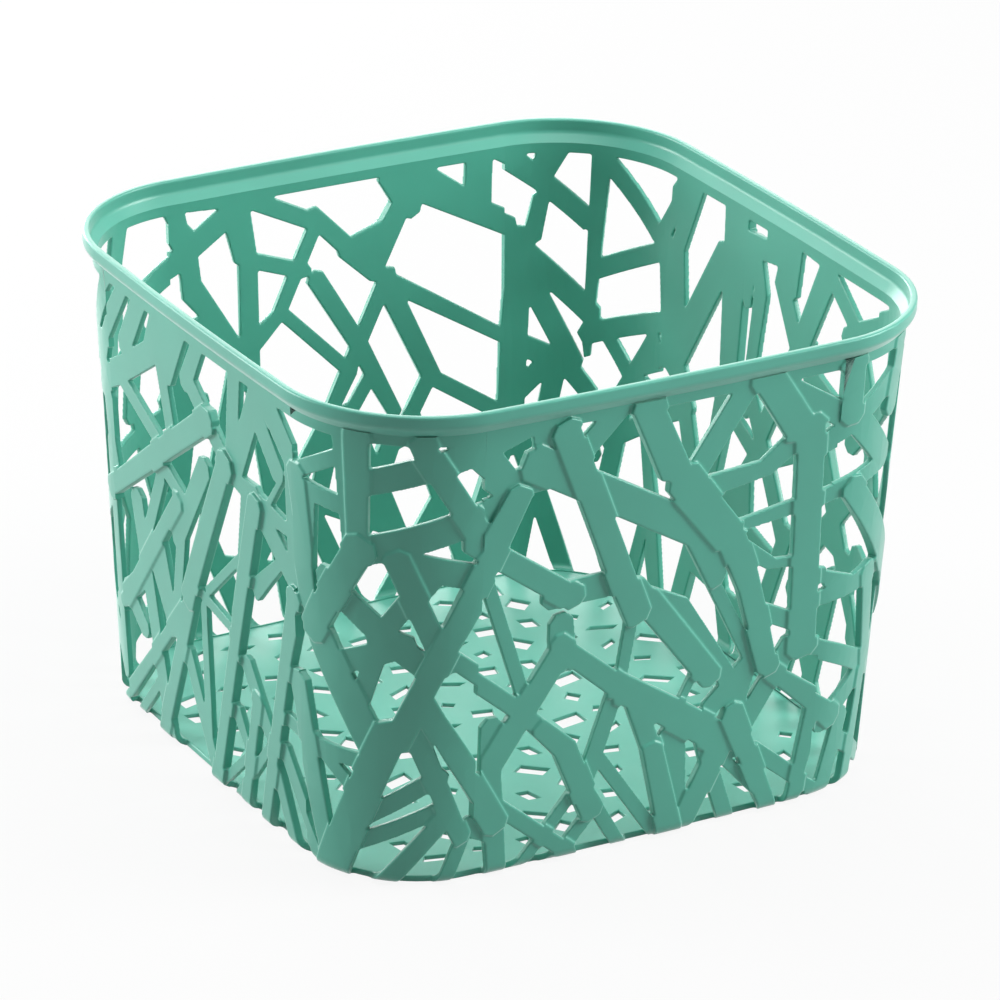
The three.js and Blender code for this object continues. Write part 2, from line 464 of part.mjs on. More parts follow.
// A flat solid's surface cut into cells along and up the sheet, so that it can bend at the lines between them
function cellTriangles(flat, alongLines, upLines) {
  const lines = { along: alongLines.slice(1, -1), up: upLines.slice(1, -1) };
  const triangles = [];
  for (let i = 1; i < alongLines.length; i += 1) {
    for (let j = 1; j < upLines.length; j += 1) {
      const outline = bandOutline(alongLines[i - 1], alongLines[i], upLines[j - 1], upLines[j]);
      const cell = flat.intersect(slab(outline, -2 * wallThickness, 2 * wallThickness));
      triangles.push(...trianglesOf(cell).filter((triangle) => !liesOnLine(triangle, lines)));
    }
  }
  const linePoints = triangles.flat().filter((point) => isOnLine(point, lines));
  return triangles.flatMap((triangle) => stitched(triangle, linePoints));
}

// Half sizes and corner radius of the wall's outside at a height
const wallTop = height - rimDepth;
function sectionAt(z) {
  const share = z / wallTop;
  const inset = lipOverhang + taper * (1 - share);
  return {
    halfLength: rimLength / 2 - inset,
    halfWidth: rimWidth / 2 - inset,
    radius: THREE.MathUtils.lerp(floorCornerRadius, rimCornerRadius, share),
  };
}

function bulge(distance, half) {
  return sideBow * Math.cos((Math.PI / 2) * Math.min(1, Math.abs(distance) / half));
}

// A point of the wall's plan: along is in sheet units from the middle of the wall, out is off its outside
function planPoint(wall, along, out, z) {
  const { halfLength, halfWidth, radius } = sectionAt(z);
  const [half, depth] = wall % 2 === 0 ? [halfLength, halfWidth] : [halfWidth, halfLength];
  const turn = Math.max(0, Math.abs(along) - sheetStraight) / sheetCorner * (Math.PI / 2);
  const straight = Math.min(1, Math.abs(along) / sheetStraight) * (half - radius);
  const x = Math.sign(along) * (straight + (radius + out) * Math.sin(turn));
  const y = -(depth - radius + (radius + out) * Math.cos(turn));
  const bowedX = x * (1 + bulge(y, depth) / half);
  const bowedY = y * (1 + bulge(x, half) / depth);
  return new THREE.Vector2(bowedX, bowedY).rotateAround(new THREE.Vector2(), (wall * Math.PI) / 2);
}

// A sheet point (along, up, out) bent on to the wall, and below the heel line round the heel
function wallPoint(wall, sheetPoint) {
  const { x: along, y: up, z: out } = sheetPoint;
  if (up >= sheetHeel) {
    const share = (up - sheetHeel) / (sheetTop - sheetHeel);
    const z = heelRadius + share * (wallTop - seam - heelRadius);
    const plan = planPoint(wall, along, out, z);
    return new THREE.Vector3(plan.x, plan.y, z);
  }
  const turn = ((sheetHeel - up) / (sheetHeel - sheetFoot)) * (Math.PI / 2);
  const reach = heelRadius + Math.max(0, out) * Math.cos(turn) ** 2 + Math.min(0, out);
  const plan = planPoint(wall, along, reach * Math.cos(turn) - heelRadius, heelRadius);
  return new THREE.Vector3(plan.x, plan.y, heelRadius - reach * Math.sin(turn));
}

function geometryOf(triangles) {
  const merged = mergeVertices(new THREE.BufferGeometry().setFromPoints(triangles.flat()), touching);
  const corners = [];
  for (let i = 0; i < merged.index.count; i += 3) {
    const [a, b, c] = merged.index.array.slice(i, i + 3);
    if (a !== b && b !== c && c !== a) {
      corners.push(a, b, c);
    }
  }
  merged.setIndex(corners);
  return merged;
}

// One panel of the wall between two places on its sheet, faceted where the wall bends
function latticePanel(wall, left, right, facets) {
  const inset = seam / 2;
  const flat = flatLattice(wall, left + inset, right - inset);
  const alongLines = [left + inset, ...stepsBetween(left, right, facets).slice(1, -1), right - inset];
  const upLines = [...stepsBetween(sheetFoot, sheetHeel, heelFacets), sheetTop];
  const triangles = cellTriangles(flat, alongLines, upLines);
  return geometryOf(triangles.map((triangle) => triangle.map((point) => wallPoint(wall, point))));
}

// Places round the whole wall, as [wall, along], closing on the first
function loopStations() {
  const stations = [];
  for (let wall = 0; wall < 4; wall += 1) {
    for (let i = 0; i < straightFacets; i += 1) {
      stations.push([wall, sheetStraight * ((2 * i) / straightFacets - 1)]);
    }
    for (let i = 0; i < cornerFacets; i += 1) {
      stations.push([wall, sheetStraight + (sheetCorner * i) / cornerFacets]);
    }
  }
  return stations;
}

// The rim's section as [out, height]: up the outside of the lip, over it, and down inside to the ledge
function rimProfile() {
  const lipInside = lipOverhang - lipWidth;
  const lipFoot = height - lipDepth;
  return [
    [-wallThickness, wallTop],
    [0, wallTop],
    [lipOverhang, lipFoot],
    [lipOverhang, height - lipEdge],
    [lipOverhang - lipEdge, height],
    [lipInside + lipEdge, height],
    [lipInside, height - lipEdge],
    [lipInside, wallTop + ledgeDrop],
  ];
}

function rim() {
  const profile = rimProfile();
  const rings = loopStations().map(([wall, along]) => profile.map(([out, z]) => {
    const plan = planPoint(wall, along, out, wallTop);
    return new THREE.Vector3(plan.x, plan.y, z);
  }));
  const triangles = [];
  rings.forEach((ring, i) => {
    const next = rings[(i + 1) % rings.length];
    ring.forEach((point, j) => {
      const k = (j + 1) % ring.length;
      triangles.push([point, next[j], next[k]], [point, next[k], ring[k]]);
    });
  });
  return geometryOf(triangles);
}

function floorOutline(inset) {
  return loopStations().map(([wall, along]) => planPoint(wall, along, -heelRadius - inset, heelRadius));
}

function isInside(point, outline) {
  let inside = false;
  outline.forEach((a, i) => {
    const b = outline[(i + 1) % outline.length];
    const crosses = (a.y > point.y) !== (b.y > point.y);
    if (crosses && point.x < ((b.x - a.x) * (point.y - a.y)) / (b.y - a.y) + a.x) {
      inside = !inside;
    }
  });
  return inside;
}

// One slot of the floor: four-sided, and drifting, leaning and swelling by its place in the pattern
function slotOutline(row, column) {
  const stagger = row % 2 === 0 ? 0 : slotPitch / 2;
  const phase = rowWave * row + columnWave * column;
  const middle = new THREE.Vector2(Math.sin(alongRate * phase), Math.cos(acrossRate * phase));
  middle.multiplyScalar(slotDrift).add(new THREE.Vector2(column * slotPitch + stagger, row * rowPitch));
  const lean = slotLean * Math.sin(phase);
  const reach = (slotLength / 2) * (1 + lengthSpread * Math.sin(lengthRate * phase));
  const shoulder = slotShoulder * reach;
  const swell = (slotWidth / 2) * (1 + widthSpread * Math.sin(widthRate * phase));
  const corners = [[-reach, -swell / 2], [shoulder, -swell], [reach, swell / 2], [-shoulder, swell]];
  return corners.map(([x, y]) => new THREE.Vector2(x, y).rotateAround(new THREE.Vector2(), lean).add(middle));
}

function slottedFloor() {
  let plate = slab(floorOutline(seam), 0, floorThickness);
  const border = floorOutline(slotMargin);
  const rows = Math.ceil(rimWidth / 2 / rowPitch);
  const columns = Math.ceil(rimLength / 2 / slotPitch);
  for (let row = -rows; row <= rows; row += 1) {
    for (let column = -columns; column <= columns; column += 1) {
      const outline = slotOutline(row, column);
      if (outline.every((corner) => isInside(corner, border))) {
        plate = plate.subtract(slab(outline, -floorThickness, 2 * floorThickness));
      }
    }
  }
  return geometryOf(trianglesOf(plate));
}

const basket = new THREE.Group();

function addPiece(name, geometry, color) {
  const mesh = new THREE.Mesh(geometry, new THREE.MeshStandardMaterial({ ...plastic, color }));
  mesh.name = name;
  basket.add(mesh);
}

const wallNames = ['front', 'right', 'back', 'left'];
wallNames.forEach((name, wall) => {
  const next = wallNames[(wall + 1) % 4];
  const cornerEnd = sheetStraight + sheetCorner;
  addPiece(`${name}_lattice`, latticePanel(wall, -sheetStraight, sheetStraight, straightFacets), latticeColor);
  addPiece(`${name}_${next}_corner`, latticePanel(wall, sheetStraight, cornerEnd, cornerFacets), latticeColor);
});
addPiece('rim', rim(), rimColor);
addPiece('slotted_floor', slottedFloor(), floorColor);

export default basket;
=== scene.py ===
# Square openwork storage basket in satin moulded plastic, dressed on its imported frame.
# Metres, Z up, standing on the floor at the origin.
import math

import bmesh
import bpy
import numpy as np
from mathutils import Matrix, Vector


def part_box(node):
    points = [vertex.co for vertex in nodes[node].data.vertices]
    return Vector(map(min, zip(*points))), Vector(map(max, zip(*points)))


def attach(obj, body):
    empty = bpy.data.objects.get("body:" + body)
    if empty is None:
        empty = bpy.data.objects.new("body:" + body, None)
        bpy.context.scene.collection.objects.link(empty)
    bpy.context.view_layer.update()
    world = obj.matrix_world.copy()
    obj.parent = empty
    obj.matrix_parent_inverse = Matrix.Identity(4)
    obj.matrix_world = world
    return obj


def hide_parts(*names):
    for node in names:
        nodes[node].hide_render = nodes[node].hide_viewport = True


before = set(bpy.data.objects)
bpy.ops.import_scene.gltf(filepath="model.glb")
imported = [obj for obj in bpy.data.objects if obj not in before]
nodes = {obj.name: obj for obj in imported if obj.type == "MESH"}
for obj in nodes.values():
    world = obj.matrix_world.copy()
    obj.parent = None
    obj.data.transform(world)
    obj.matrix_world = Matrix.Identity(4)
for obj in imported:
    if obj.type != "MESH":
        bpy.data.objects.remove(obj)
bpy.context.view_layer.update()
scene = bpy.context.scene
print("frame loaded:", len(nodes), "nodes")

# The basket's form, in the same sizes as the solids, so that a panel of it can be laid flat and bent back
form = {
    "side": 0.25,
    "height": 0.1865,
    "taper": 0.0097,
    "sideBow": 0.0025,
    "rimCornerRadius": 0.0485,
    "floorCornerRadius": 0.041,
    "heelRadius": 0.005,
    "wallThickness": 0.0022,
    "lipOverhang": 0.0036,
    "rimDepth": 0.0085,
    "relief": 0.0014,      # how far the proudest branches stand off the wall
    "seam": 0.0001,        # between neighbouring solids
    "sheetStraight": 0.0729,
    "sheetCorner": 0.0762,
    "sheetHeel": 0.005,
    "sheetTop": 0.1765,
    "sheetFoot": -0.00285,
}
wallTop = form["height"] - form["rimDepth"]
quarter = math.pi / 2

# Lengths that count as none: between points that are one, across a cut, and off the heel
tolerance = {
    "weld": 2e-6,
    "cut": 1e-7,
    "proud": 1e-6,
    "digits": 6,           # of places that are compared
}


def sectionAt(z):
    share = z / wallTop
    inset = form["lipOverhang"] + form["taper"] * (1 - share)
    radius = form["floorCornerRadius"] + (form["rimCornerRadius"] - form["floorCornerRadius"]) * share
    return form["side"] / 2 - inset, radius


def bulge(distance, half):
    return form["sideBow"] * np.cos(quarter * np.minimum(1, np.abs(distance) / half))


def turned(x, y, turns):
    angle = turns * quarter
    return x * math.cos(angle) - y * math.sin(angle), x * math.sin(angle) + y * math.cos(angle)


# A place on the wall's plan: along runs from the wall's middle in sheet lengths, out is off its outside
def planOf(wall, along, out, z):
    half, radius = sectionAt(z)
    turn = np.maximum(0, np.abs(along) - form["sheetStraight"]) / form["sheetCorner"] * quarter
    straight = np.minimum(1, np.abs(along) / form["sheetStraight"]) * (half - radius)
    x = np.sign(along) * (straight + (radius + out) * np.sin(turn))
    y = -(half - radius + (radius + out) * np.cos(turn))
    return turned(x * (1 + bulge(y, half) / half), y * (1 + bulge(x, half) / half), wall)


# The other way round: the bow is taken off in a few rounds, as each of x and y bows by the other
unbowRounds = 12


def sheetPlaceOf(wall, x, y, z):
    half, radius = sectionAt(z)
    bowedX, bowedY = turned(x, y, -wall)
    flatX, flatY = bowedX, bowedY
    for _ in range(unbowRounds):
        flatX = bowedX / (1 + bulge(flatY, half) / half)
        flatY = bowedY / (1 + bulge(flatX, half) / half)
    pastX, pastY = np.abs(flatX) - (half - radius), -flatY - (half - radius)
    inCorner = pastX > 0
    turn = np.where(inCorner, np.arctan2(np.maximum(pastX, 0), pastY), 0)
    alongStraight = np.abs(flatX) / (half - radius) * form["sheetStraight"]
    alongCorner = form["sheetStraight"] + turn / quarter * form["sheetCorner"]
    out = np.where(inCorner, np.hypot(pastX, pastY), pastY) - radius
    return np.sign(flatX) * np.where(inCorner, alongCorner, alongStraight), out


# Flat sheet points (along, up, out) bent on to a wall, and the other way round. Under the heel the relief fades
# out, and laid flat it comes back, but no more than the least fade allows.
leastFade = 0.001


def bend(wall, points):
    along, up, out = points.T
    share = (up - form["sheetHeel"]) / (form["sheetTop"] - form["sheetHeel"])
    zOnWall = form["heelRadius"] + share * (wallTop - form["seam"] - form["heelRadius"])
    heelShare = (form["sheetHeel"] - up) / (form["sheetHeel"] - form["sheetFoot"])
    turn = np.clip(heelShare, 0, 1) * quarter
    reach = form["heelRadius"] + np.maximum(0, out) * np.cos(turn) ** 2 + np.minimum(0, out)
    onWall = up >= form["sheetHeel"]
    offWall = np.where(onWall, out, reach * np.cos(turn) - form["heelRadius"])
    x, y = planOf(wall, along, offWall, np.where(onWall, zOnWall, form["heelRadius"]))
    return np.stack([x, y, np.where(onWall, zOnWall, form["heelRadius"] - reach * np.sin(turn))], 1)


def layFlat(wall, points):
    x, y, z = points.T
    along, out = sheetPlaceOf(wall, x, y, np.maximum(z, form["heelRadius"]))
    share = (z - form["heelRadius"]) / (wallTop - form["seam"] - form["heelRadius"])
    upOnWall = form["sheetHeel"] + share * (form["sheetTop"] - form["sheetHeel"])
    turn = np.arctan2(form["heelRadius"] - z, out + form["heelRadius"])
    upOnHeel = form["sheetHeel"] - turn / quarter * (form["sheetHeel"] - form["sheetFoot"])
    proud = np.hypot(form["heelRadius"] - z, out + form["heelRadius"]) - form["heelRadius"]
    faded = np.minimum(proud / np.maximum(np.cos(turn) ** 2, leastFade), form["relief"])
    onHeel = z < form["heelRadius"] - tolerance["cut"]
    up = np.where(onHeel, upOnHeel, upOnWall)
    outOnHeel = np.where(proud > tolerance["proud"], faded, proud)
    return np.stack([along, up, np.where(onHeel, outOnHeel, out)], 1)


# An 8-bit sRGB colour as the linear one that a shader takes
def linearOf(red, green, blue):
    def channel(value):
        share = value / 255
        return share / 12.92 if share <= 0.04045 else ((share + 0.055) / 1.055) ** 2.4
    return channel(red), channel(green), channel(blue), 1.0


# Satin moulded plastic: a faint drift in the colour and gloss, and the fine grain that the mould leaves
plasticLook = {
    "latticeColor": (71, 157, 137),
    # The rim is painted a touch lighter than the lattice, though it is the same plastic: painted light, for its
    # brighter lit top
    "rimColor": (77, 161, 142),
    # The floor is painted much lighter than the lattice, though it is the same plastic: painted light, standing in
    # for the pale gloss the lamps lay on it
    "floorColor": (90, 174, 155),
    "drift": 0.05,
    "driftScale": 22,
    "driftDetail": 3,
    "driftSpan": (0.3, 0.7),
    "roughness": (0.30, 0.40),
    "flowScale": 60,
    "flowDistortion": 0.6,
    "grainScale": 2400,
    "grainDetail": 2,
    "grainStrength": 0.5,
    "grainDepth": 0.00002,
    "scatter": 0.1,
    "scatterRadius": (0.5, 1.0, 0.8),
    "scatterDepth": 0.003,
    "sheen": 0.5,
    "sheenRoughness": 0.35,
    "refraction": 1.49,
}


def makePlastic(name, color):
    material = bpy.data.materials.new(name)
    material.use_nodes = True
    tree = material.node_tree
    shader = tree.nodes["Principled BSDF"]
    place = tree.nodes.new("ShaderNodeTexCoord")

    drift = tree.nodes.new("ShaderNodeTexNoise")
    drift.inputs["Scale"].default_value = plasticLook["driftScale"]
    drift.inputs["Detail"].default_value = plasticLook["driftDetail"]
    tree.links.new(place.outputs["Object"], drift.inputs["Vector"])
    shades = tree.nodes.new("ShaderNodeValToRGB")
    base = linearOf(*color)
    shares = (1 - plasticLook["drift"], 1 + plasticLook["drift"])
    for element, share, position in zip(shades.color_ramp.elements, shares, plasticLook["driftSpan"]):
        element.color = (*[channel * share for channel in base[:3]], 1)
        element.position = position
    tree.links.new(drift.outputs["Fac"], shades.inputs["Fac"])
    tree.links.new(shades.outputs["Color"], shader.inputs["Base Color"])

    flow = tree.nodes.new("ShaderNodeTexNoise")
    flow.inputs["Scale"].default_value = plasticLook["flowScale"]
    flow.inputs["Distortion"].default_value = plasticLook["flowDistortion"]
    tree.links.new(place.outputs["Object"], flow.inputs["Vector"])
    gloss = tree.nodes.new("ShaderNodeMapRange")
    gloss.inputs["To Min"].default_value, gloss.inputs["To Max"].default_value = plasticLook["roughness"]
    tree.links.new(flow.outputs["Fac"], gloss.inputs["Value"])
    tree.links.new(gloss.outputs["Result"], shader.inputs["Roughness"])

    grain = tree.nodes.new("ShaderNodeTexNoise")
    grain.inputs["Scale"].default_value = plasticLook["grainScale"]
    grain.inputs["Detail"].default_value = plasticLook["grainDetail"]
    tree.links.new(place.outputs["Object"], grain.inputs["Vector"])
    bump = tree.nodes.new("ShaderNodeBump")
    bump.inputs["Strength"].default_value = plasticLook["grainStrength"]
    bump.inputs["Distance"].default_value = plasticLook["grainDepth"]
    tree.links.new(grain.outputs["Fac"], bump.inputs["Height"])
    tree.links.new(bump.outputs["Normal"], shader.inputs["Normal"])

    shader.inputs["Subsurface Weight"].default_value = plasticLook["scatter"]
    shader.inputs["Subsurface Radius"].default_value = plasticLook["scatterRadius"]
    shader.inputs["Subsurface Scale"].default_value = plasticLook["scatterDepth"]
    shader.inputs["Sheen Weight"].default_value = plasticLook["sheen"]
    shader.inputs["Sheen Roughness"].default_value = plasticLook["sheenRoughness"]
    shader.inputs["IOR"].default_value = plasticLook["refraction"]
    return material


latticePlastic = makePlastic("latticePlastic", plasticLook["latticeColor"])
# The rim's copy of the plastic carries painted light: its colour is a little lighter to stand in for its lit top
rimPlastic = makePlastic("rimPlastic", plasticLook["rimColor"])
# The floor's copy of the plastic carries painted light: its colour is lightened to stand in for the gloss it
# catches
floorPlasticPaintedLight = makePlastic("floorPlasticPaintedLight", plasticLook["floorColor"])
print("plastics mixed")


def addPiece(name, mesh, material, slot, *replaced):
    piece = bpy.data.objects.new(name, mesh)
    scene.collection.objects.link(piece)
    mesh.materials.clear()
    mesh.materials.append(material)
    softNormals = piece.modifiers.new("softNormals", "WEIGHTED_NORMAL")
    softNormals.keep_sharp = True
    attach(piece, "root")
    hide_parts(*replaced)
    return piece


# The lattice: each panel is laid flat, its moulded edges are softened, and it is bent back in fine steps
lattice = {
    "panels": [
        ("frontWall", "front_lattice"),
        ("frontRightBend", "front_right_corner"),
        ("rightWall", "right_lattice"),
        ("rightBackBend", "right_back_corner"),
        ("backWall", "back_lattice"),
        ("backLeftBend", "back_left_corner"),
        ("leftWall", "left_lattice"),
        ("leftFrontBend", "left_front_corner"),
    ],
    "voxel": 0.0004,
    "quickVoxel": 0.0009,
    "smoothing": 2,        # rounds
    "smoothShare": 0.5,    # of the way to the middle of a point's neighbours, in each round
    "kept": 0.3,           # share of the faces left after thinning the flats
    "spare": 0.002,        # spare material past each end, trimmed off again
    "wallSlices": 12,
    "bendSlices": 20,
    "heelSlices": 9,
}


def flatPanel(node, wall, left, right):
    flat = bmesh.new()
    flat.from_mesh(nodes[node].data)
    bmesh.ops.remove_doubles(flat, verts=flat.verts, dist=tolerance["weld"])
    places = layFlat(wall, np.array([vert.co for vert in flat.verts]))
    edge = 2 * form["seam"]
    for vert, (along, up, out) in zip(flat.verts, places):
        along += lattice["spare"] * (int(along > right - edge) - int(along < left + edge))
        up += lattice["spare"] * (int(up > form["sheetTop"] - edge) - int(up < form["sheetFoot"] + edge))
        vert.co = along, up, out
    mesh = bpy.data.meshes.new(node + "Flat")
    flat.to_mesh(mesh)
    flat.free()
    return mesh


def softened(mesh):
    blank = bpy.data.objects.new("blank", mesh)
    scene.collection.objects.link(blank)
    remesh = blank.modifiers.new("skin", "REMESH")
    remesh.mode = "VOXEL"
    remesh.voxel_size = lattice["voxel"]
    smooth = blank.modifiers.new("smooth", "SMOOTH")
    smooth.factor = lattice["smoothShare"]
    smooth.iterations = lattice["smoothing"]
    thin = blank.modifiers.new("thin", "DECIMATE")
    thin.ratio = lattice["kept"]
    soft = bpy.data.meshes.new_from_object(blank.evaluated_get(bpy.context.evaluated_depsgraph_get()))
    bpy.data.objects.remove(blank)
    return soft


def sliced(panel, place, direction, **trims):
    everything = panel.verts[:] + panel.edges[:] + panel.faces[:]
    near = tolerance["cut"]
    bmesh.ops.bisect_plane(panel, geom=everything, dist=near, plane_co=place, plane_no=direction, **trims)


def cutPanel(mesh, left, right, slices):
    panel = bmesh.new()
    panel.from_mesh(mesh)
    sliced(panel, (left, 0, 0), (1, 0, 0), clear_inner=True)
    sliced(panel, (right, 0, 0), (1, 0, 0), clear_outer=True)
    sliced(panel, (0, form["sheetTop"] + form["seam"], 0), (0, 1, 0), clear_outer=True)
    sliced(panel, (0, form["sheetFoot"], 0), (0, 1, 0), clear_inner=True)
    for face in panel.faces:
        face.smooth = True
    ends = [edge for edge in panel.edges if edge.is_boundary]
    bmesh.ops.holes_fill(panel, edges=ends, sides=0)
    bmesh.ops.recalc_face_normals(panel, faces=panel.faces)
    for edge in ends:
        edge.smooth = False
    for i in range(1, slices):
        sliced(panel, (left + (right - left) * i / slices, 0, 0), (1, 0, 0))
    for i in range(1, lattice["heelSlices"] + 1):
        up = form["sheetFoot"] + (form["sheetHeel"] - form["sheetFoot"]) * i / lattice["heelSlices"]
        sliced(panel, (0, up, 0), (0, 1, 0))
    return panel


def makePanel(name, node, wall, left, right, slices):
    soft = softened(flatPanel(node, wall, left, right))
    panel = cutPanel(soft, left, right, slices)
    bent = bend(wall, np.array([vert.co for vert in panel.verts]))
    for vert, place in zip(panel.verts, bent):
        vert.co = place
    mesh = bpy.data.meshes.new(name)
    panel.to_mesh(mesh)
    panel.free()
    return addPiece(name, mesh, latticePlastic, "wall_plastic", node)


for i, (name, node) in enumerate(lattice["panels"]):
    if i % 2 == 0:
        span = (-form["sheetStraight"], form["sheetStraight"], lattice["wallSlices"])
    else:
        cornerEnd = form["sheetStraight"] + form["sheetCorner"]
        span = (form["sheetStraight"], cornerEnd, lattice["bendSlices"])
    panel = makePanel(name, node, i // 2, *span)
    print(name, "bent:", len(panel.data.polygons), "faces")


# Places round the whole basket as (wall, along), closing on the first
def stationsRound(straightSteps, cornerSteps):
    straight, corner = form["sheetStraight"], form["sheetCorner"]
    for wall in range(4):
        for i in range(straightSteps):
            yield wall, straight * (2 * i / straightSteps - 1)
        for i in range(cornerSteps):
            yield wall, straight + corner * i / cornerSteps


# The rim: a flare out to an upright lip, and inside it a ledge that leads down to the wall, as (out, below the top,
# rounding)
rim = {
    "section": [
        (-form["wallThickness"], form["rimDepth"], 0),
        (0.0000, form["rimDepth"], 0),
        (form["lipOverhang"], 0.0045, 0.0012),
        (form["lipOverhang"], 0.0000, 0.0010),
        (0.0009, 0.0000, 0.0010),
        (0.0009, 0.0050, 0.0010),
    ],
    "roundSteps": 5,
    "straightSteps": 12,
    "cornerSteps": 20,
}


def roundedSection():
    points = [Vector((out, form["height"] - below)) for out, below, _ in rim["section"]]
    section = []
    for i, (_, _, radius) in enumerate(rim["section"]):
        here, before, after = points[i], points[i - 1], points[(i + 1) % len(points)]
        if radius == 0:
            section.append(here)
            continue
        start = here + (before - here).normalized() * radius
        end = here + (after - here).normalized() * radius
        for step in range(rim["roundSteps"] + 1):
            share = step / rim["roundSteps"]
            section.append(start.lerp(here, share).lerp(here.lerp(end, share), share))
    return section


def makeRim():
    section = roundedSection()
    ring = bmesh.new()
    rings = []
    for wall, along in stationsRound(rim["straightSteps"], rim["cornerSteps"]):
        places = [planOf(wall, along, out, wallTop) for out, _ in section]
        rings.append([ring.verts.new((x, y, z)) for (x, y), (_, z) in zip(places, section)])
    for i, here in enumerate(rings):
        after = rings[(i + 1) % len(rings)]
        for j in range(len(section)):
            k = (j + 1) % len(section)
            face = ring.faces.new((here[j], after[j], after[k], here[k]))
            face.smooth = True
            if j == 0:
                for edge in face.edges:
                    edge.smooth = False
    bmesh.ops.recalc_face_normals(ring, faces=ring.faces)
    mesh = bpy.data.meshes.new("rimBand")
    ring.to_mesh(mesh)
    ring.free()
    return addPiece("rimBand", mesh, rimPlastic, "rim_plastic", "rim")


makeRim()
print("rim turned")


# The floor: the solid's plate and openings, with its outline carried out to the heel and its openings softened
floorPlate = {
    "straightSteps": 12,
    "cornerSteps": 20,
    "edgeRound": 0.0004,
    "roundSteps": 2,
    "roundProfile": 0.5,
    "plainMargin": 0.004,  # free of openings, inside the outline
    "upward": 0.9,         # the least rise of a normal that counts as facing up
    "sharpAngle": 0.8,
    "foldAngle": 1,
}


def openingLoops(plate, top):
    follows = {}
    for edge in plate.edges:
        upFaces = [face for face in edge.link_faces if face.normal.z > floorPlate["upward"]]
        if len(upFaces) == 1 and all(vert.co.z > top / 2 for vert in edge.verts):
            loop = next(loop for loop in upFaces[0].loops if loop.edge == edge)
            follows[loop.vert] = loop.link_loop_next.vert
    loops = []
    while follows:
        vert = next(iter(follows))
        loop = []
        while vert in follows:
            loop.append(vert.co.copy())
            vert = follows.pop(vert)
        loops.append(loop)
    return sorted(loops, key=len)[:-1]


def isOpeningEdge(edge, corners):
    if edge.calc_face_angle(0) < floorPlate["foldAngle"] or edge.verts[0].co.z != edge.verts[1].co.z:
        return False
    middle = (edge.verts[0].co + edge.verts[1].co) / 2
    half, _ = sectionAt(form["heelRadius"])
    reach = max(abs(middle.x), abs(middle.y))
    if reach > half - form["heelRadius"] - floorPlate["plainMargin"]:
        return False
    digits = tolerance["digits"]
    return all((round(vert.co.x, digits), round(vert.co.y, digits)) in corners for vert in edge.verts)


def makeFloor():
    plate = bmesh.new()
    plate.from_mesh(nodes["slotted_floor"].data)
    bmesh.ops.remove_doubles(plate, verts=plate.verts, dist=tolerance["weld"])
    plate.normal_update()
    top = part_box("slotted_floor")[1].z
    openings = openingLoops(plate, top)
    plate.free()

    sheet = bmesh.new()
    outline = []
    for wall, along in stationsRound(floorPlate["straightSteps"], floorPlate["cornerSteps"]):
        x, y = planOf(wall, along, -form["heelRadius"], form["heelRadius"])
        outline.append(Vector((x, y, top)))
    for loop in [outline] + openings:
        verts = [sheet.verts.new(place) for place in loop]
        for i, vert in enumerate(verts):
            sheet.edges.new((vert, verts[(i + 1) % len(verts)]))
    bmesh.ops.triangle_fill(sheet, edges=sheet.edges[:], use_beauty=True)
    deepened = bmesh.ops.extrude_face_region(sheet, geom=sheet.faces[:])
    for item in deepened["geom"]:
        if isinstance(item, bmesh.types.BMVert):
            item.co.z = 0
    bmesh.ops.recalc_face_normals(sheet, faces=sheet.faces)
    sheet.normal_update()
    digits = tolerance["digits"]
    corners = {(round(place.x, digits), round(place.y, digits)) for loop in openings for place in loop}
    inner = [edge for edge in sheet.edges if isOpeningEdge(edge, corners)]
    bevel = {"offset": floorPlate["edgeRound"], "segments": floorPlate["roundSteps"]}
    bmesh.ops.bevel(sheet, geom=inner, affect="EDGES", profile=floorPlate["roundProfile"], **bevel)
    for face in sheet.faces:
        face.smooth = True
    for edge in sheet.edges:
        edge.smooth = edge.calc_face_angle(0) < floorPlate["sharpAngle"]
    mesh = bpy.data.meshes.new("floorPlate")
    sheet.to_mesh(mesh)
    sheet.free()
    return addPiece("floorPlate", mesh, floorPlasticPaintedLight, "floor_plastic", "slotted_floor")


makeFloor()
print("floor laid")

# The stage: a pale floor and a white surround, which both stay white to the camera
stage = {
    "size": 6,
    "floorColor": (0.48, 0.48, 0.48, 1),
    "floorRoughness": 0.9,
    "whiteness": 0.9,      # share of the floor that the camera sees as plain white
    "world": 0.08,
}


def whiteToCamera(tree, shaderOutput, whiteness):
    rays = tree.nodes.new("ShaderNodeLightPath")
    seen = tree.nodes.new("ShaderNodeMath")
    seen.operation = "MAXIMUM"
    tree.links.new(rays.outputs["Is Camera Ray"], seen.inputs[0])
    tree.links.new(rays.outputs["Is Glossy Ray"], seen.inputs[1])
    share = tree.nodes.new("ShaderNodeMath")
    share.operation = "MULTIPLY"
    share.inputs[1].default_value = whiteness
    tree.links.new(seen.outputs[0], share.inputs[0])
    white = tree.nodes.new("ShaderNodeEmission")
    mix = tree.nodes.new("ShaderNodeMixShader")
    tree.links.new(share.outputs[0], mix.inputs[0])
    tree.links.new(shaderOutput, mix.inputs[1])
    tree.links.new(white.outputs[0], mix.inputs[2])
    return mix.outputs[0]


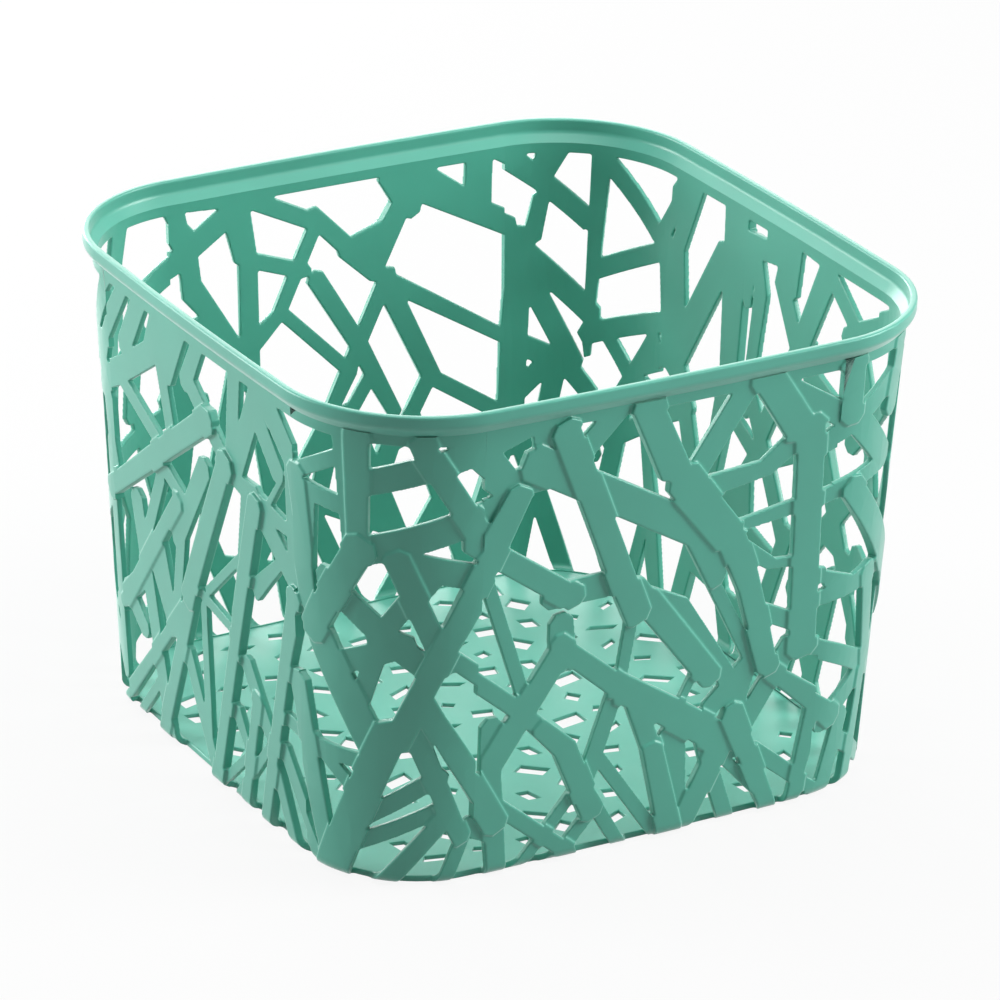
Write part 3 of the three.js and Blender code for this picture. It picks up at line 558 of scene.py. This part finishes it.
def makeStage():
    half = stage["size"] / 2
    mesh = bpy.data.meshes.new("studioFloor")
    corners = [(-half, -half, 0), (half, -half, 0), (half, half, 0), (-half, half, 0)]
    mesh.from_pydata(corners, [], [(0, 1, 2, 3)])
    studioFloor = bpy.data.objects.new("studioFloor", mesh)
    scene.collection.objects.link(studioFloor)
    material = bpy.data.materials.new("studioWhite")
    material.use_nodes = True
    tree = material.node_tree
    shader = tree.nodes["Principled BSDF"]
    shader.inputs["Base Color"].default_value = stage["floorColor"]
    shader.inputs["Roughness"].default_value = stage["floorRoughness"]
    output = tree.nodes["Material Output"]
    tree.links.new(whiteToCamera(tree, shader.outputs[0], stage["whiteness"]), output.inputs["Surface"])
    mesh.materials.append(material)

    world = bpy.data.worlds.new("studio")
    scene.world = world
    world.use_nodes = True
    tree = world.node_tree
    background = tree.nodes["Background"]
    background.inputs["Color"].default_value = (1, 1, 1, 1)
    background.inputs["Strength"].default_value = stage["world"]
    output = tree.nodes["World Output"]
    tree.links.new(whiteToCamera(tree, background.outputs[0], 1), output.inputs["Surface"])


# Lamps: a broad one overhead, a key from the left and behind, a fill from the right and in front, so that the near
# corner stays the darkest, and two at the back for the pale gloss on the left wall, the floor and the rim
lamps = [
    {"name": "overhead", "at": (0, -0.1, 1.5), "size": 1.4, "power": 16},
    {"name": "key", "at": (-1.23, 1.03, 0.53), "size": 1.0, "power": 29},
    {"name": "fill", "at": (1.35, -0.8, 0.85), "size": 1.0, "power": 33},
    {"name": "rear", "at": (0.0, 1.7, 0.45), "size": 1.0, "power": 29},
    {"name": "gleam", "at": (0.9, 1.5, 0.7), "size": 1.0, "power": 5},
]


def addLamp(lamp):
    light = bpy.data.lights.new(lamp["name"], "AREA")
    light.shape = "DISK"
    light.size = lamp["size"]
    light.energy = lamp["power"]
    holder = bpy.data.objects.new(lamp["name"], light)
    holder.location = lamp["at"]
    aim = Vector((0, 0, form["height"] / 2)) - holder.location
    holder.rotation_euler = aim.to_track_quat("-Z", "Y").to_euler()
    scene.collection.objects.link(holder)


makeStage()
for lamp in lamps:
    addLamp(lamp)
scene.view_settings.view_transform = "Standard"
print("stage lit")

# The photograph's viewpoint
camera = {
    "target": (0, 0, 0.092),
    "azimuth": -30.057,
    "elevation": 23.506,
    "distance": 2.1949,
    "roll": 0.022,
    "lens": 213.2,
    "sensor": 36,
    "shift": (0.00972, -0.00445),
    "farEnd": 20,
}


def makeCamera():
    azimuth, elevation = math.radians(camera["azimuth"]), math.radians(camera["elevation"])
    level = math.cos(elevation)
    back = Vector((math.sin(azimuth) * level, -math.cos(azimuth) * level, math.sin(elevation)))
    lens = bpy.data.cameras.new("photoView")
    lens.lens = camera["lens"]
    lens.sensor_width = camera["sensor"]
    lens.shift_x, lens.shift_y = camera["shift"]
    lens.clip_end = camera["farEnd"]
    viewer = bpy.data.objects.new("photoView", lens)
    viewer.location = Vector(camera["target"]) + back * camera["distance"]
    facing = (-back).to_track_quat("-Z", "Y").to_matrix() @ Matrix.Rotation(camera["roll"], 3, "Z")
    viewer.rotation_euler = facing.to_euler()
    scene.collection.objects.link(viewer)
    scene.camera = viewer


makeCamera()
print("camera set")
